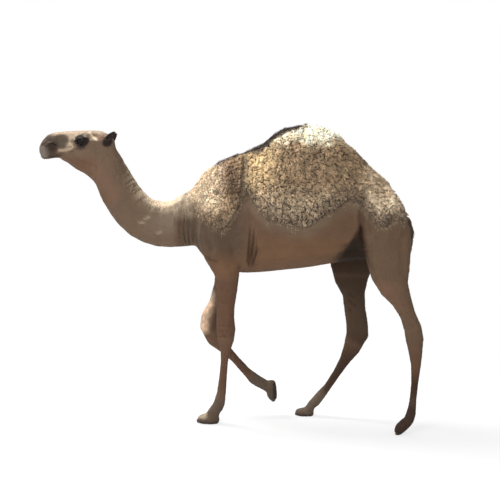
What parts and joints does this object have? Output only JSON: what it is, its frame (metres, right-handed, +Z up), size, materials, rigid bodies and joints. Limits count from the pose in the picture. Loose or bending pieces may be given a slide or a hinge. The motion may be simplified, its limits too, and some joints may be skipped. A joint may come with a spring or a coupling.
{
  "type": "dromedary camel",
  "caption": "Life-size dromedary camel walking, one forefoot lifted, with a woolly hump and short coat elsewhere.",
  "frame": {"origin": "on the ground, under the middle of the bounding box", "axes": "+Z up, -X the way the camel faces, -Y its left side"},
  "size_m": [2.6114, 0.5798, 2.01],
  "materials": {
    "coat": "short flat fur over skin",
    "wool": "curly matt wool",
    "eye": "wet gloss",
    "toenail": "worn horn"
  },
  "bodies": {
    "root": {"barrel": "coat", "ear_left": "coat", "ear_right": "coat", "eye_left": "eye", "eye_right": "eye", "foreleg_left_foot": "coat", "foreleg_left_lower": "coat", "foreleg_left_toenail_left": "toenail", "foreleg_left_toenail_right": "toenail", "foreleg_left_upper": "coat", "foreleg_right_foot": "coat", "foreleg_right_lower": "coat", "foreleg_right_toenail_left": "toenail", "foreleg_right_toenail_right": "toenail", "foreleg_right_upper": "coat", "forequarters": "coat", "head": "coat", "hindleg_left_foot": "coat", "hindleg_left_lower": "coat", "hindleg_left_toenail_left": "toenail", "hindleg_left_toenail_right": "toenail", "hindleg_left_upper": "coat", "hindleg_right_foot": "coat", "hindleg_right_lower": "coat", "hindleg_right_toenail_left": "toenail", "hindleg_right_toenail_right": "toenail", "hindleg_right_upper": "coat", "hindquarters": "coat", "hump": "wool", "neck_lower": "coat", "neck_upper": "coat", "tail": "coat"}
  },
  "joints": []
}
